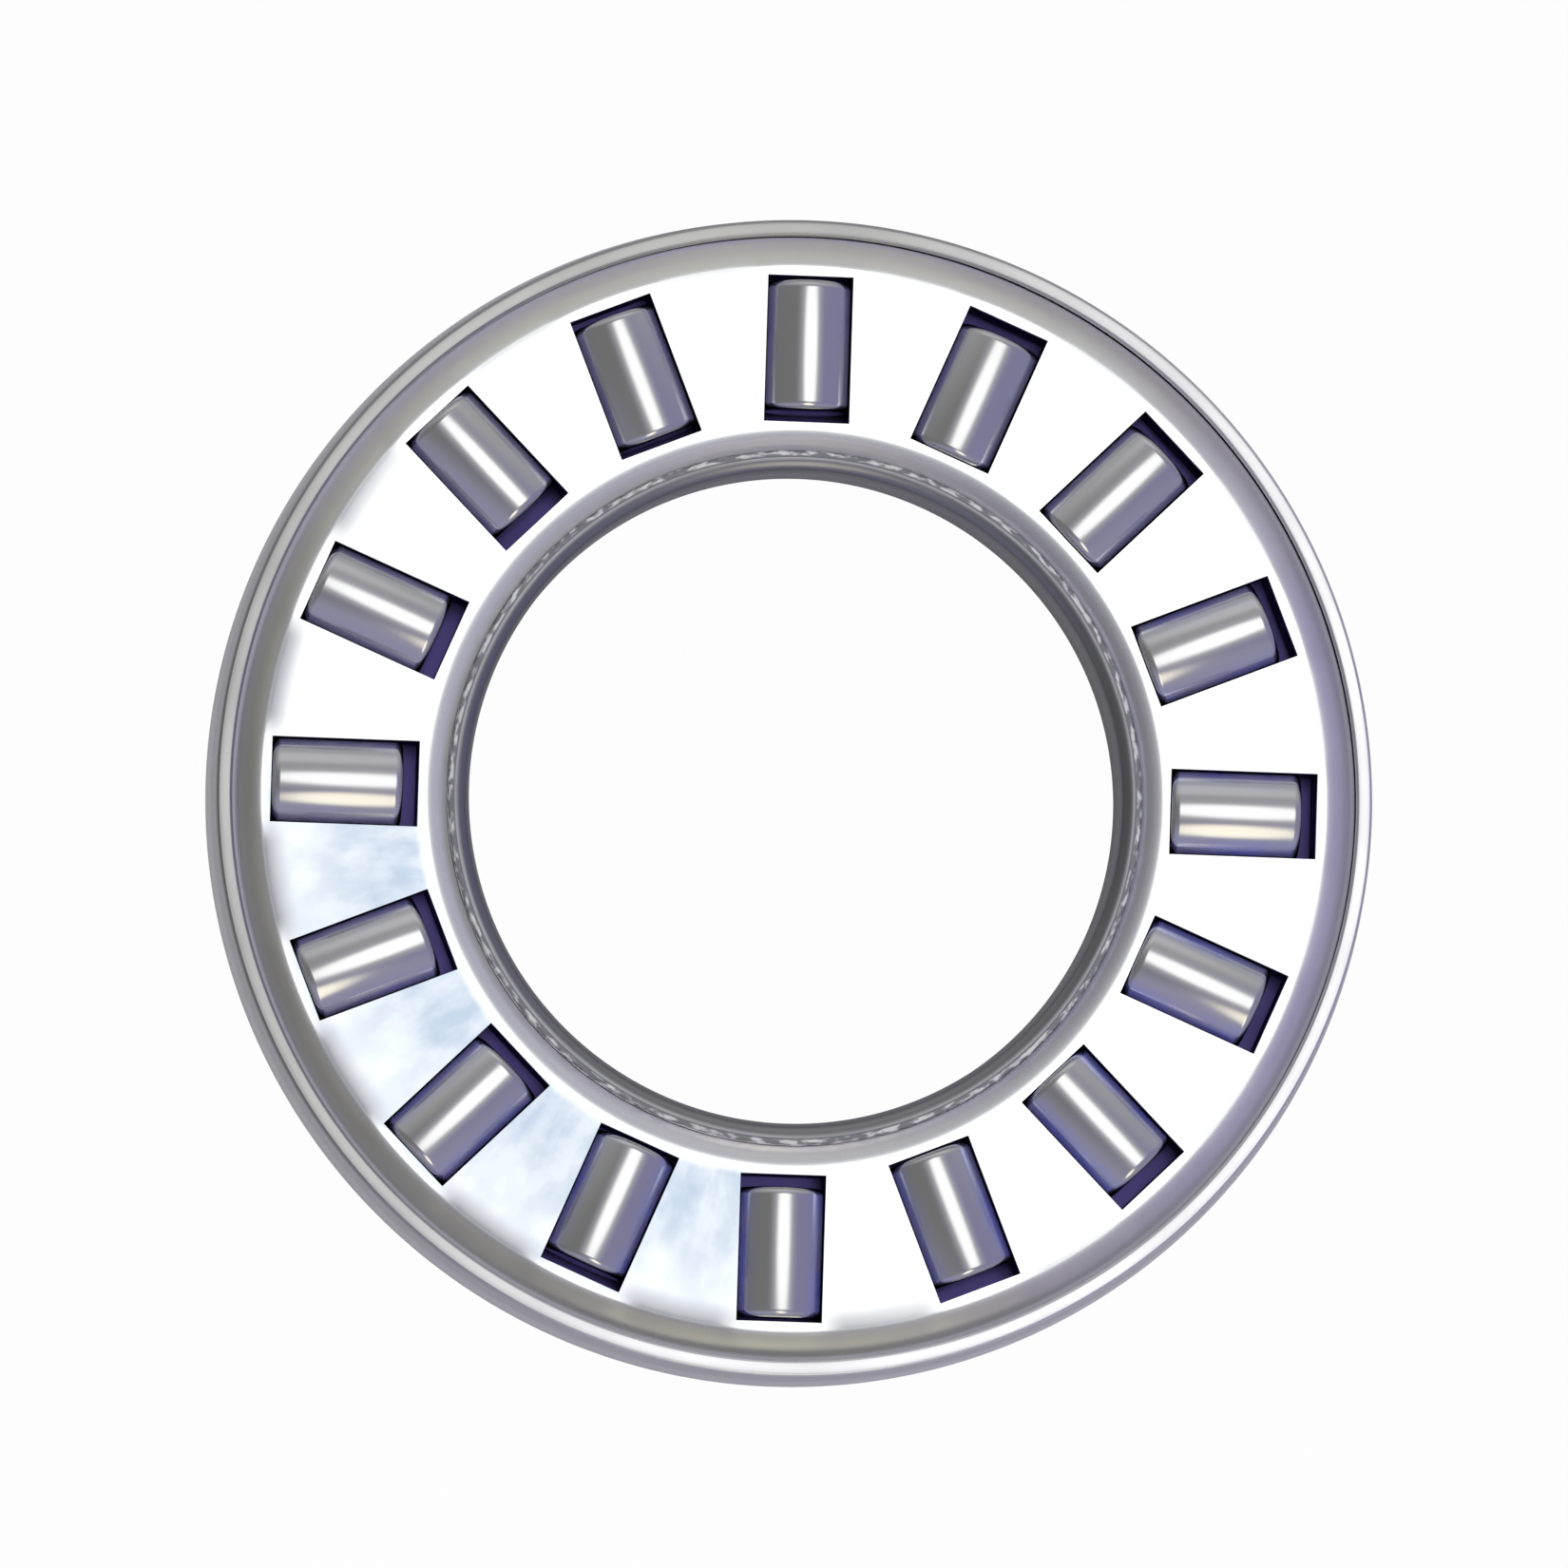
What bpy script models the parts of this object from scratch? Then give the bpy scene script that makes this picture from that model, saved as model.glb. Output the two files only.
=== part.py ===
"""A thrust roller bearing, closed on one side: one flanged race, a two-piece cage and a ring of rollers.

The origin is the centre of the race's flat seating face, +Z is the bearing's axis, and the rollers show
on the +Z side. The shaft goes through the bore, the load comes down on the tops of the rollers, and the
cage turns in the race while each roller rolls on the race's floor about its own radial axis.
Rebuild it with: blender --background --python part.py
"""

import math

import bmesh
import bpy
from mathutils import Matrix

MM = 0.001

# Overall sizes.
OUTER_DIAMETER = 57.15 * MM  # 2 1/4 in, over the race's rim at its foot
BORE_DIAMETER = 31.75 * MM  # 1 1/4 in, the shaft's hole

# The race: one stamping, with a leaning rim outside and a flared lip round the bore.
RACE_FLOOR = 0.8 * MM  # the plate that the rollers run on
RIM_WALL = 0.65 * MM
RIM_LEAN = 0.43 * MM  # how far the rim leans in from its foot to its crest
RIM_DROP = 0.3 * MM  # the crest's depth below the tops of the rollers
RIM_ROUND = 0.12 * MM  # both corners of the crest, which is a narrow flat land
LIP_WALL = 0.5 * MM
LIP_MOUTH = 0.75 * MM  # the round at the mouth of the bore, on the roller side
LIP_RISE = 0.25 * MM  # the lip's top above the cage's top
LIP_OVERHANG = 0.18 * MM  # how far the lip reaches out over the cage, which keeps it in
RACE_BEND = 1.3 * MM  # the outside of both bends at the seating face
RACE_FILLET = 0.4 * MM  # the inside of both bends, at the floor

# The rollers.
ROLLER_COUNT = 16
ROLLER_DIAMETER = 4.5 * MM
ROLLER_CHAMFER = 0.18 * MM
ROLLER_SIDES = 24
# Where each roller rests along its pocket: -1 is against the inner end and 1 against the outer end.
ROLLER_REST = (-1, -1, -1, -1, 0.5, 0, 1, 1, 1, 1, 1, -0.5, 0.6, -0.8, -1, -1)

# The cage: an upper half that wraps round a shallower lower half, both of thin sheet.
CAGE_SHEET = 0.5 * MM
CAGE_SHOULDER = 1.25 * MM  # the outside of the bends from the top to the walls
CAGE_BEND = 0.2 * MM  # the inside of the tight bends
HEM_WIDTH = 1.1 * MM  # how far the upper half turns under the lower half, from its wall
LOWER_EDGE = 1.3 * MM  # the height of the lower half's turned-up edges
INNER_LAND = 0.34 * MM  # flat sheet between a pocket and the inner shoulder
OUTER_LAND = 0.46 * MM  # flat sheet between a pocket and the outer shoulder
POCKET_GRIP = 0.16 * MM  # how much a pocket's side stands in from the roller's widest line

# Clearances.
ROLLING_GAP = 0.04 * MM  # a roller above the race's floor
POCKET_GAP = 0.05 * MM  # a roller to the sides and the ends of its pocket
END_PLAY = 0.83 * MM  # a roller along its pocket, both ends together
RIM_GAP = 0.24 * MM  # the cage to the rim's crest
LIP_GAP = 0.4 * MM  # the cage to the lip's wall
NEST_GAP = 0.1 * MM  # the cage's halves to each other

TURN_STEPS = 64  # flats round a turned piece, a multiple of the rollers
ROUND_STEPS = 4  # flats in a wide bend
TIGHT_STEPS = 2  # flats in a tight bend

# Radii, from the two diameters.
outer_radius = OUTER_DIAMETER / 2
bore_radius = BORE_DIAMETER / 2
crest_radius = outer_radius - RIM_LEAN - RIM_WALL / 2
cage_outer = crest_radius - RIM_WALL / 2 - RIM_GAP
lip_outer = bore_radius + LIP_WALL
cage_inner = lip_outer + LIP_GAP
lip_edge = cage_inner + LIP_OVERHANG
pocket_inner = cage_inner + CAGE_SHOULDER + INNER_LAND
pocket_outer = cage_outer - CAGE_SHOULDER - OUTER_LAND
pocket_length = pocket_outer - pocket_inner
pitch_radius = (pocket_inner + pocket_outer) / 2

# The roller and what it sets: a web starts where the roller has become narrow enough for its pocket.
roller_radius = ROLLER_DIAMETER / 2
roller_length = pocket_length - END_PLAY
roller_slide = END_PLAY / 2 - POCKET_GAP
pocket_half = roller_radius - POCKET_GRIP
web_offset = math.sqrt(roller_radius**2 - (pocket_half - POCKET_GAP) ** 2)

# Heights above the seating face.
roller_z = RACE_FLOOR + ROLLING_GAP + roller_radius
roller_top = roller_z + roller_radius
crest_z = roller_top - RIM_DROP
cage_top = roller_z + web_offset + CAGE_SHEET
lower_web_z = roller_z - web_offset - CAGE_SHEET
hem_z = lower_web_z - NEST_GAP - CAGE_SHEET
lip_top = cage_top + LIP_RISE


def arc(centre_r, centre_z, radius, start, end, steps):
    """Points (r, z) on an arc, from one angle to another in degrees, both ends included."""
    angles = [math.radians(start + (end - start) * i / steps) for i in range(steps + 1)]
    return [(centre_r + radius * math.cos(a), centre_z + radius * math.sin(a)) for a in angles]


def material(name, colour, roughness):
    """A plain steel."""
    steel = bpy.data.materials.new(name)
    steel.use_nodes = True
    shader = steel.node_tree.nodes["Principled BSDF"]
    shader.inputs["Base Color"].default_value = (*colour, 1)
    shader.inputs["Metallic"].default_value = 1
    shader.inputs["Roughness"].default_value = roughness
    steel.diffuse_color = (*colour, 1)
    return steel


def collection(name):
    made = bpy.data.collections.new(name)
    bpy.context.scene.collection.children.link(made)
    return made


def new_object(name, bm, steel, group):
    """An object that holds a copy of the bmesh, smooth except at its sharp corners."""
    mesh = bpy.data.meshes.new(name)
    bm.to_mesh(mesh)
    bm.free()
    mesh.shade_smooth()
    mesh.set_sharp_from_angle(angle=math.radians(30))
    mesh.materials.append(steel)
    made = bpy.data.objects.new(name, mesh)
    group.objects.link(made)
    return made


def turned(name, profile, closed, steel, group):
    """A profile of (r, z) points turned once round the Z axis."""
    bm = bmesh.new()
    points = [bm.verts.new((r, 0, z)) for r, z in profile]
    for first, second in zip(points, points[1:]):
        bm.edges.new((first, second))
    if closed:
        bm.edges.new((points[-1], points[0]))
    made = new_object(name, bm, steel, group)
    screw = made.modifiers.new("Turn", "SCREW")
    screw.axis = "Z"
    screw.steps = TURN_STEPS
    screw.render_steps = TURN_STEPS
    screw.use_merge_vertices = True
    screw.merge_threshold = 0.01 * MM
    return made


def make_sheet(piece):
    """Gives a turned surface the cage's thickness, on its inner side."""
    solidify = piece.modifiers.new("Sheet", "SOLIDIFY")
    solidify.thickness = CAGE_SHEET
    solidify.offset = -1
    solidify.use_even_offset = True


def cut(piece, cutter):
    """Takes the cutter's shape out of the piece."""
    boolean = piece.modifiers.new("Pockets", "BOOLEAN")
    boolean.operation = "DIFFERENCE"
    boolean.solver = "EXACT"
    boolean.object = cutter


def make_race(steel, group):
    """The flanged race, from its crest down the outside, under the floor, up the bore and back."""
    lean_foot = outer_radius - RACE_BEND
    rim_inside = outer_radius - RIM_WALL - RACE_FILLET
    mouth_r = bore_radius + LIP_MOUTH
    mouth_z = lip_top - LIP_MOUTH
    underside = LIP_MOUTH - LIP_WALL
    corner = RIM_WALL / 2 - RIM_ROUND
    crest_inside = arc(crest_radius - corner, crest_z - RIM_ROUND, RIM_ROUND, 180, 90, TIGHT_STEPS)
    crest_outside = arc(crest_radius + corner, crest_z - RIM_ROUND, RIM_ROUND, 90, 0, TIGHT_STEPS)
    foot = arc(lean_foot, RACE_BEND, RACE_BEND, 0, -90, ROUND_STEPS)
    bore_foot = arc(bore_radius + RACE_BEND, RACE_BEND, RACE_BEND, -90, -180, ROUND_STEPS)
    mouth = arc(mouth_r, mouth_z, LIP_MOUTH, 180, 90, ROUND_STEPS)
    lip_end = [(lip_edge, lip_top), (lip_edge, lip_top - LIP_WALL)]
    neck = arc(mouth_r, mouth_z, underside, 90, 180, TIGHT_STEPS)
    inner_fillet = arc(lip_outer + RACE_FILLET, RACE_FLOOR + RACE_FILLET, RACE_FILLET, 180, 270, TIGHT_STEPS)
    outer_fillet = arc(rim_inside, RACE_FLOOR + RACE_FILLET, RACE_FILLET, 270, 360, TIGHT_STEPS)
    outside = crest_inside + crest_outside + foot + bore_foot
    profile = outside + mouth + lip_end + neck + inner_fillet + outer_fillet
    return turned("flanged_race", profile, True, steel, group)


def make_upper_half(steel, group):
    """The cage's upper half: top, two round shoulders, two walls, and a hem under each wall."""
    bend = CAGE_SHEET + CAGE_BEND
    shoulder_z = cage_top - CAGE_SHOULDER
    inner_hem = arc(cage_inner + bend, hem_z + bend, bend, 270, 180, TIGHT_STEPS)
    inner_shoulder = arc(cage_inner + CAGE_SHOULDER, shoulder_z, CAGE_SHOULDER, 180, 90, ROUND_STEPS)
    outer_shoulder = arc(cage_outer - CAGE_SHOULDER, shoulder_z, CAGE_SHOULDER, 90, 0, ROUND_STEPS)
    outer_hem = arc(cage_outer - bend, hem_z + bend, bend, 0, -90, TIGHT_STEPS)
    start = [(cage_inner + HEM_WIDTH, hem_z)]
    end = [(cage_outer - HEM_WIDTH, hem_z)]
    profile = start + inner_hem + inner_shoulder + outer_shoulder + outer_hem + end
    piece = turned("cage_upper_half", profile, False, steel, group)
    make_sheet(piece)
    return piece


def make_lower_half(steel, group):
    """The cage's lower half: a flat ring with both edges turned up inside the upper half's walls."""
    bend = CAGE_SHEET + CAGE_BEND
    edge_z = lower_web_z + LOWER_EDGE
    outside = cage_outer - CAGE_SHEET - NEST_GAP
    inside = cage_inner + CAGE_SHEET + NEST_GAP
    outer_bend = arc(outside - bend, lower_web_z + bend, bend, 0, -90, TIGHT_STEPS)
    inner_bend = arc(inside + bend, lower_web_z + bend, bend, 270, 180, TIGHT_STEPS)
    profile = [(outside, edge_z)] + outer_bend + inner_bend + [(inside, edge_z)]
    piece = turned("cage_lower_half", profile, False, steel, group)
    make_sheet(piece)
    return piece


def make_pocket_cutter(group):
    """A box for each pocket, tall enough to pass through both halves."""
    bm = bmesh.new()
    size = Matrix.Diagonal((pocket_length, 2 * pocket_half, 2 * ROLLER_DIAMETER, 1))
    place = Matrix.Translation((pitch_radius, 0, roller_z))
    for index in range(ROLLER_COUNT):
        turn = Matrix.Rotation(math.tau * index / ROLLER_COUNT, 4, "Z")
        bmesh.ops.create_cube(bm, size=1, matrix=turn @ place @ size)
    mesh = bpy.data.meshes.new("pocket_cutter")
    bm.to_mesh(mesh)
    bm.free()
    cutter = bpy.data.objects.new("pocket_cutter", mesh)
    group.objects.link(cutter)
    cutter.hide_render = True
    cutter.display_type = "WIRE"
    return cutter


def make_rollers(steel, group):
    """The rollers, which share one mesh: a cylinder along its own Z with a chamfer round each end."""
    bm = bmesh.new()
    bmesh.ops.create_cone(
        bm,
        cap_ends=True,
        segments=ROLLER_SIDES,
        radius1=roller_radius,
        radius2=roller_radius,
        depth=roller_length,
    )
    rims = [edge for edge in bm.edges if edge.verts[0].co.z * edge.verts[1].co.z > 0]
    bmesh.ops.bevel(bm, geom=rims, offset=ROLLER_CHAMFER, affect="EDGES", segments=1, profile=0.5)
    first = new_object("roller_01", bm, steel, group)
    rollers = [first]
    for number in range(2, ROLLER_COUNT + 1):
        roller = bpy.data.objects.new(f"roller_{number:02d}", first.data)
        group.objects.link(roller)
        rollers.append(roller)
    for index, roller in enumerate(rollers):
        angle = math.tau * index / ROLLER_COUNT
        radius = pitch_radius + roller_slide * ROLLER_REST[index % len(ROLLER_REST)]
        roller.rotation_euler = (0, math.pi / 2, angle)
        roller.location = (radius * math.cos(angle), radius * math.sin(angle), 0)
    return rollers


def main():
    for old in list(bpy.data.objects):
        bpy.data.objects.remove(old, do_unlink=True)
    bearing = collection("thrust_roller_bearing")
    cutters = collection("cutters")

    race_steel = material("race_steel", (0.50, 0.50, 0.51), 0.35)
    upper_steel = material("cage_upper_steel", (0.80, 0.81, 0.84), 0.25)
    lower_steel = material("cage_lower_steel", (0.66, 0.67, 0.70), 0.30)
    roller_steel = material("roller_steel", (0.56, 0.56, 0.58), 0.12)

    make_race(race_steel, bearing)
    upper = make_upper_half(upper_steel, bearing)
    lower = make_lower_half(lower_steel, bearing)
    cutter = make_pocket_cutter(cutters)
    cut(upper, cutter)
    cut(lower, cutter)
    rollers = make_rollers(roller_steel, bearing)

    # The cage's axis, at the height of the rollers' centres, carries all that turns with the cage.
    cage_axis = bpy.data.objects.new("cage_axis", None)
    bearing.objects.link(cage_axis)
    cage_axis.location = (0, 0, roller_z)
    bpy.context.view_layer.update()
    for piece in (upper, lower, cutter):
        piece.parent = cage_axis
        piece.matrix_parent_inverse = cage_axis.matrix_world.inverted()
    for roller in rollers:
        roller.parent = cage_axis
    bpy.context.view_layer.update()


main()
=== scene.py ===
# %% [markdown]
# # A thrust roller bearing
# This bearing carries a push along a shaft. A flanged steel race holds a cage of thin sheet, and the
# cage holds a ring of short rollers that stand a little proud of it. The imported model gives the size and
# the place of every piece. This script dresses each one in a finer shape and a finish of its own.

# %% Load the frame
import math

import bmesh
import bpy
from mathutils import Matrix, Vector, noise


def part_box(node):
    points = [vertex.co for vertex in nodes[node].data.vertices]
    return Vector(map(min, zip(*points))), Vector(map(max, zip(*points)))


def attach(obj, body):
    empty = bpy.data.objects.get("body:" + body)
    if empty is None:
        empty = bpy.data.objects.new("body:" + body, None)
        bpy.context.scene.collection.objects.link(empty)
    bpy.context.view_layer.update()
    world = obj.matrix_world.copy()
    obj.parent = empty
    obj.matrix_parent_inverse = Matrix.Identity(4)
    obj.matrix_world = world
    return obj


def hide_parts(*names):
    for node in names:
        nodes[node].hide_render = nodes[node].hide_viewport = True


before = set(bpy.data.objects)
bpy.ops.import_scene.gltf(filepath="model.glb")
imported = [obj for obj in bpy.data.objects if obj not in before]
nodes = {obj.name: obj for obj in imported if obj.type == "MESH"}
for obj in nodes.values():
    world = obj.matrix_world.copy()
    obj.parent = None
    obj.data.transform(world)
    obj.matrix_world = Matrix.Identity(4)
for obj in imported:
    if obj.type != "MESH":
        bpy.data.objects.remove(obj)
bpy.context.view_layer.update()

MM = 0.001

print("nodes in the frame:", len(nodes))

# %% [markdown]
# ## Camera
# The view is almost straight down, a few degrees off towards the lower left, which is why a sliver of the
# rim's outer wall shows on that side only. A long lens keeps both edges of the ring the same size. The
# camera is rolled by a tenth of a pocket, because the cage lies turned by that much. A camera looks along
# its own -Z, so its matrix is simply the three directions right, up and back, side by side.

# %% Camera
VIEW_TILT = math.radians(6.3)
VIEW_SIDE = math.radians(225)
VIEW_ROLL = math.radians(2.1)
DISTANCE = 0.9
FRAME_WIDTH = 76.62 * MM
AIM_RIGHT = -0.27 * MM
AIM_UP = 0.91 * MM
AIM_HEIGHT = 1.2 * MM

level_part = math.sin(VIEW_TILT)
back = Vector((level_part * math.cos(VIEW_SIDE), level_part * math.sin(VIEW_SIDE), math.cos(VIEW_TILT)))
right = Vector((math.cos(VIEW_ROLL), math.sin(VIEW_ROLL), 0))
right = (right - right.dot(back) * back).normalized()
up = back.cross(right)
aim = Vector((0, 0, AIM_HEIGHT)) + AIM_RIGHT * right + AIM_UP * up
turn = Matrix((right, up, back)).transposed().to_4x4()

lens = bpy.data.cameras.new("camera")
lens.sensor_width = 36
lens.lens = lens.sensor_width * DISTANCE / FRAME_WIDTH
lens.clip_start = 0.01
camera = bpy.data.objects.new("camera", lens)
camera.matrix_world = Matrix.Translation(aim + DISTANCE * back) @ turn
bpy.context.scene.collection.objects.link(camera)
bpy.context.scene.camera = camera
print(f"camera {DISTANCE} m away, lens {lens.lens:.0f} mm")

# %% [markdown]
# ## Sizes
# Every radius comes from the frame, so the fine pieces can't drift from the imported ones. Only what a
# closed mesh can't tell, such as the sheet's thickness and the bends, is written further down by name.

# %% Sizes from the frame


def radii(node):
    """The smallest and the largest distance of a node's corners from the bearing's axis."""
    found = [v.co.xy.length for v in nodes[node].data.vertices]
    return min(found), max(found)


bore_radius, outer_radius = radii("flanged_race")
cage_inner, cage_outer = radii("cage_upper_half")
lower_inner, lower_outer = radii("cage_lower_half")
race_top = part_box("flanged_race")[1].z
cage_bottom, cage_top = (corner.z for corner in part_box("cage_upper_half"))
lower_bottom, lower_top = (corner.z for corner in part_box("cage_lower_half"))
roller_low, roller_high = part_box("roller_01")
roller_radius = (roller_high.z - roller_low.z) / 2
roller_length = roller_high.x - roller_low.x
roller_names = sorted(name for name in nodes if name.startswith("roller_"))
pockets = len(roller_names)
print(f"bore {bore_radius / MM:.3f}, outside {outer_radius / MM:.3f}, rollers {pockets}")

# %% [markdown]
# ## Node helpers
# A material or a world is a tree of nodes. The first helpers add a node and fill its sockets, either with
# a number or with a link, so that the cells below read like sentences.

# %% Node helpers


def fill(tree, socket, value):
    """Sets a socket to a value, or links it if the value is another node's output."""
    if isinstance(value, bpy.types.NodeSocket):
        tree.links.new(value, socket)
    else:
        socket.default_value = value


def add(tree, kind, values, **settings):
    """Adds a node, sets its options, fills the named or numbered sockets, and returns it."""
    made = tree.nodes.new("ShaderNode" + kind)
    for name, value in settings.items():
        setattr(made, name, value)
    for key, value in values.items():
        fill(tree, made.inputs[key], value)
    return made


def maths(tree, operation, *values):
    return add(tree, "Math", dict(enumerate(values)), operation=operation).outputs[0]


def product(tree, first, *others):
    """All of these values multiplied, which for masks means inside every one of them."""
    for other in others:
        first = maths(tree, "MULTIPLY", first, other)
    return first


def along(tree, direction, axis):
    """How far a direction or a place goes along an axis."""
    return add(tree, "VectorMath", {0: direction, 1: tuple(axis)}, operation="DOT_PRODUCT").outputs["Value"]


print("node helpers: fill, add, maths, product, along")

# %% [markdown]
# ## Soft steps and blends
# Almost nothing on worn metal has a hard border. So a mask here is a soft step, which goes from 0 to 1
# between two values, and a zone is two such steps back to back. Zones are given in millimetres, because
# that is how a drawing of the bearing would give them.

# %% Soft steps and blends


def ramp(tree, value, low, high, to_low=0.0, to_high=1.0):
    """A soft step from one level to another as the value goes from low to high."""
    sockets = {"Value": value, "From Min": low, "From Max": high, "To Min": to_low, "To Max": to_high}
    return add(tree, "MapRange", sockets, interpolation_type="SMOOTHSTEP").outputs[0]


def zone(tree, value, start, full, fading=None, gone=None):
    """A mask of a length: 0 at start, 1 at full and, if given, 1 at fading and 0 again at gone, in mm."""
    mask = ramp(tree, value, start * MM, full * MM)
    if gone is not None:
        mask = product(tree, mask, ramp(tree, value, gone * MM, fading * MM))
    return mask


def blend_colours(tree, factor, first, second):
    """A colour between the first, at 0, and the second, at 1."""
    made = add(tree, "Mix", {}, data_type="RGBA")
    fill(tree, made.inputs[0], factor)
    fill(tree, made.inputs[6], first)
    fill(tree, made.inputs[7], second)
    return made.outputs[2]


print("mask helpers: ramp, zone, blend_colours")

# %% [markdown]
# ## Studio light
# Polished steel has no colour of its own: it shows the room. So the room is what gets designed, as soft
# oval panes of light on a dim sky. An area lamp would do the same, but a pane has a softness that can be
# set, and it never lights the table by itself.
#
# A direction is given by its angle from straight up and its angle round the axis.

# %% Directions and panes


def towards(height_angle, side_angle):
    """A direction, by its angle from straight up and its angle round the axis, in degrees."""
    t, a = math.radians(height_angle), math.radians(side_angle)
    return Vector((math.sin(t) * math.cos(a), math.sin(t) * math.sin(a), math.cos(t)))


def pane(tree, direction, centre, width, height, softness):
    """1 inside an oval of these half-angles, in degrees, falling to 0 outside. Width runs level."""
    level = Vector((-centre.y, centre.x, 0)).normalized()
    upright = centre.cross(level)
    sideways = maths(tree, "DIVIDE", along(tree, direction, level), math.sin(math.radians(width)))
    upwards = maths(tree, "DIVIDE", along(tree, direction, upright), math.sin(math.radians(height)))
    squares = maths(tree, "ADD", product(tree, sideways, sideways), product(tree, upwards, upwards))
    inside = ramp(tree, maths(tree, "SQRT", squares), 1 + softness, 1 - softness)
    in_front = maths(tree, "GREATER_THAN", along(tree, direction, centre), 0.0)
    return product(tree, inside, in_front)


print("straight up is", tuple(towards(0, 0)))

# %% [markdown]
# The light box hangs almost overhead, with a dimmer skirt round it, and gives the white web and the white
# line along each roller. A warm lamp stands lower, at the front, and gives the second, cream line on the
# rollers that lie across. A window at the back gives their other flank a grey band. The rest of the room
# is neutral on the left and a little violet on the right, and the panes are laid over it one by one.
#
# Camera rays see a plain bright ground instead of the room, so the picture has a plain backdrop.

# %% World
BACKGROUND = 0.985
LEFT_ROOM = (0.21, 0.21, 0.21, 1)
RIGHT_ROOM = (0.27, 0.26, 0.42, 1)
BACK_ROOM = (0.44, 0.44, 0.44, 1)
FRONT_ROOM = (0.35, 0.34, 0.46, 1)
UNDER_ROOM = (0.5, 0.5, 0.52, 1)
PANES = {
    "window": (towards(60, 90), 26, 13, 0.5, (0.60, 0.60, 0.63, 1)),
    "lamp": (towards(45, -82), 11, 17, 0.25, (1.45, 1.38, 1.16, 1)),
    "skirt": (towards(8.5, 38), 26, 24, 0.45, (0.52, 0.52, 0.54, 1)),
    "light box": (towards(8.5, 38), 17, 15.5, 0.25, (1.45, 1.45, 1.45, 1)),
}

world = bpy.data.worlds.new("studio")
world.use_nodes = True
bpy.context.scene.world = world
sky = world.node_tree
sky.nodes.clear()
direction = add(sky, "TexCoord", {}).outputs["Generated"]
side = add(sky, "SeparateXYZ", {0: direction}).outputs
room = blend_colours(sky, ramp(sky, side[0], -0.7, 0.7), LEFT_ROOM, RIGHT_ROOM)
room = blend_colours(sky, ramp(sky, side[1], 0.2, 0.8), room, BACK_ROOM)
room = blend_colours(sky, ramp(sky, side[1], -0.2, -0.8), room, FRONT_ROOM)
room = blend_colours(sky, ramp(sky, side[2], 0.0, -0.3), room, UNDER_ROOM)
for centre, width, height, softness, light in PANES.values():
    room = blend_colours(sky, pane(sky, direction, centre, width, height, softness), room, light)
seen = add(sky, "LightPath", {}).outputs["Is Camera Ray"]
room = blend_colours(sky, seen, room, (BACKGROUND, BACKGROUND, BACKGROUND, 1))
shine = add(sky, "Background", {"Color": room, "Strength": 1.0})
add(sky, "OutputWorld", {"Surface": shine.outputs[0]})
bpy.context.scene.view_settings.view_transform = "Standard"
print("panes:", ", ".join(PANES), "- world nodes:", len(sky.nodes))

# %% [markdown]
# ## Floor
# The bearing lies on a plain pale table. Seen directly, the table is as white as the light box behind it,
# so the ring stands out with no shadow. The steel sees it as ordinary white card. The table lies a hair
# under the race, so that the two flat faces don't flicker through each other.

# %% Floor
FLOOR_SIZE = 2.0
FLOOR_DROP = 0.02 * MM

bm = bmesh.new()
bmesh.ops.create_grid(bm, x_segments=1, y_segments=1, size=FLOOR_SIZE)
bmesh.ops.translate(bm, vec=(0, 0, -FLOOR_DROP), verts=bm.verts)
floor_mesh = bpy.data.meshes.new("floor")
bm.to_mesh(floor_mesh)
bm.free()
floor = bpy.data.objects.new("floor", floor_mesh)
bpy.context.scene.collection.objects.link(floor)

card = bpy.data.materials.new("white_card")
card.use_nodes = True
tree = card.node_tree
paint = tree.nodes["Principled BSDF"]
paint.inputs["Base Color"].default_value = (0.85, 0.85, 0.86, 1)
paint.inputs["Roughness"].default_value = 0.9
bright = add(tree, "Emission", {"Color": (1, 1, 1, 1), "Strength": BACKGROUND})
seen = add(tree, "LightPath", {}).outputs["Is Camera Ray"]
either = add(tree, "MixShader", {0: seen, 1: paint.outputs[0], 2: bright.outputs[0]})
tree.links.new(either.outputs[0], tree.nodes["Material Output"].inputs["Surface"])
floor.data.materials.append(card)
print("floor:", 2 * FLOOR_SIZE, "m square, with the material", card.name)

# %% [markdown]
# ## Shared effects
# Four effects turn plain metal into steel that someone has made and handled, and two of them also carry
# painted glints and painted tints of light and shade. Each is a node group, built once and used by several
# materials with its own values. A turned piece is easiest to describe by radius, angle and height, so a
# helper works these out from a point's place.

# %% Group helpers


def new_group(name, inputs, outputs):
    """A node group with these sockets, given as (name, kind, default), and its two end nodes."""
    group = bpy.data.node_groups.new(name, "ShaderNodeTree")
    for label, kind, default in inputs:
        socket = group.interface.new_socket(name=label, in_out="INPUT", socket_type="NodeSocket" + kind)
        if default is not None:
            socket.default_value = default
    for label, kind in outputs:
        group.interface.new_socket(name=label, in_out="OUTPUT", socket_type="NodeSocket" + kind)
    return group, group.nodes.new("NodeGroupInput").outputs, group.nodes.new("NodeGroupOutput").inputs


def round_coordinates(tree, place):
    """A point's distance from the axis, its angle round it in radians, and its height."""
    split = add(tree, "SeparateXYZ", {0: place}).outputs
    flat = add(tree, "CombineXYZ", {0: split[0], 1: split[1]})
    radius = add(tree, "VectorMath", {0: flat.outputs[0]}, operation="LENGTH").outputs["Value"]
    angle = maths(tree, "ARCTAN2", split[1], split[0])
    return radius, angle, split[2]


print("group helpers: new_group, round_coordinates")

# %% [markdown]
# *Ring grain* is the fine circular grain that drawing and turning leave. It is noise that changes fast
# with the radius and slowly with the angle, so each grain is a long thin arc.

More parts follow.
